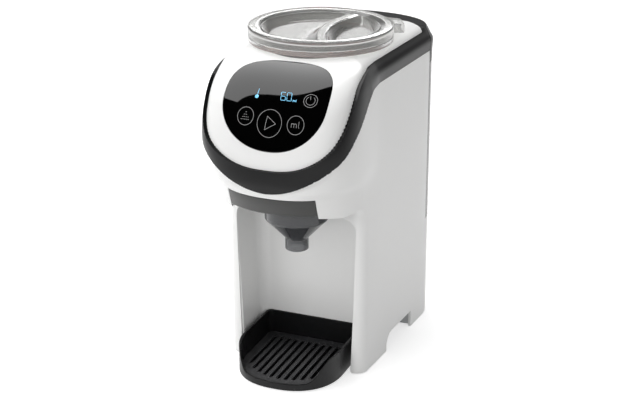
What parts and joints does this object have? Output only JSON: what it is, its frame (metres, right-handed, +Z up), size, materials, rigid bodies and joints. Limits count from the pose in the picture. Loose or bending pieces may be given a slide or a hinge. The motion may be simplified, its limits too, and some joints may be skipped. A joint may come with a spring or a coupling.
{
  "type": "baby formula maker",
  "caption": "Countertop baby formula maker with a powder container on top, rear water tank, round-nosed touch display, pull-out funnel drawer, bottle bay and drip tray.",
  "frame": {"origin": "on the table, under the middle of the object's bounds", "axes": "+Z up, -Y towards the front with the display and the drip tray, +X to the right seen from the front"},
  "size_m": [0.1596, 0.2818, 0.3254],
  "materials": {
    "white_abs": "gloss",
    "black_abs": "gloss",
    "smoke_plastic": "gloss",
    "clear_plastic": "clear gloss",
    "smoke_clear": "clear gloss",
    "display_glass": "gloss",
    "grey_abs": "satin",
    "black_matte": "satin",
    "circuit_board": "satin",
    "coral_pp": "satin",
    "white_pp": "satin",
    "rubber": "matte",
    "silicone": "satin",
    "steel": "brushed",
    "cast_aluminium": "matte"
  },
  "bodies": {
    "housing": {"body_shell": "white_abs", "base_plate": "grey_abs", "bay_liner": "white_abs", "trim_band": "black_abs", "chassis_plate": "grey_abs", "dispense_block": "grey_abs", "water_nozzle": "smoke_plastic", "mains_inlet": "black_matte", "foot_front_left": "rubber", "foot_front_right": "rubber", "foot_rear_left": "rubber", "foot_rear_right": "rubber", "base_screw_1": "steel", "base_screw_2": "steel", "base_screw_3": "steel", "base_screw_4": "steel", "chassis_screw_1": "steel", "chassis_screw_2": "steel", "chassis_screw_3": "steel", "chassis_screw_4": "steel", "top_cover": "white_abs", "display_window": "display_glass", "display_board": "circuit_board", "container_well": "grey_abs", "container_switch": "black_matte", "stir_motor": "steel", "dock_seat": "silicone", "water_pump": "black_matte", "pump_cradle": "rubber", "heater_block": "cast_aluminium", "heater_stand": "grey_abs", "power_board": "circuit_board", "tank_hose": "silicone", "pump_hose": "silicone", "mix_hose": "silicone", "drawer_rail_left": "grey_abs", "drawer_rail_right": "grey_abs"},
    "container": {"powder_container": "clear_plastic"},
    "stirrer": {"stirring_wheel": "coral_pp"},
    "coupling": {"drive_coupling": "grey_abs"},
    "lid": {"powder_lid": "clear_plastic", "lid_seal": "silicone"},
    "tank": {"water_tank": "smoke_clear", "tank_hinge_pin": "steel", "valve_spring": "steel"},
    "tank_cap": {"tank_lid": "black_abs"},
    "valve": {"valve_poppet": "white_pp"},
    "drawer": {"funnel_drawer": "smoke_plastic", "funnel": "smoke_clear"},
    "tray": {"drip_tray": "black_abs"},
    "grid": {"tray_grid": "black_matte"}
  },
  "joints": [
    {"name": "container_lift", "type": "slide", "parent": "housing", "child": "container", "axis": [0, 0, 1], "range_m": [0, 0.095]},
    {"name": "lid_turn", "type": "hinge", "parent": "container", "child": "lid", "pos_m": [0, -0.00584, 0.32], "axis": [0, 0, 1], "range_deg": [0, 30]},
    {"name": "stirrer_spin", "type": "hinge", "parent": "container", "child": "stirrer", "pos_m": [0, -0.00584, 0.236], "axis": [0, 0, 1], "continuous": true},
    {"name": "coupling_spin", "type": "hinge", "parent": "housing", "child": "coupling", "pos_m": [0, -0.00584, 0.226], "axis": [0, 0, 1], "continuous": true},
    {"name": "tank_lift", "type": "slide", "parent": "housing", "child": "tank", "axis": [0, 0, 1], "range_m": [0, 0.19]},
    {"name": "tank_cap_hinge", "type": "hinge", "parent": "tank", "child": "tank_cap", "pos_m": [0, 0.13666, 0.2646], "axis": [-1, 0, 0], "range_deg": [0, 95]},
    {"name": "tank_valve", "type": "slide", "parent": "tank", "child": "valve", "axis": [0, 0, 1], "range_m": [0, 0.003], "stiffness_N_per_m": 300, "springref_m": -0.003, "deforming": ["valve_spring"]},
    {"name": "drawer_slide", "type": "slide", "parent": "housing", "child": "drawer", "axis": [0, -1, 0], "range_m": [0, 0.095]},
    {"name": "tray_slide", "type": "slide", "parent": "housing", "child": "tray", "axis": [0, -1, 0], "range_m": [0, 0.06]},
    {"name": "grid_lift", "type": "slide", "parent": "tray", "child": "grid", "axis": [0, 0, 1], "range_m": [0, 0.03]}
  ],
  "couplings": [
    {"joint": "coupling_spin", "follows": "stirrer_spin", "ratio": 1}
  ]
}
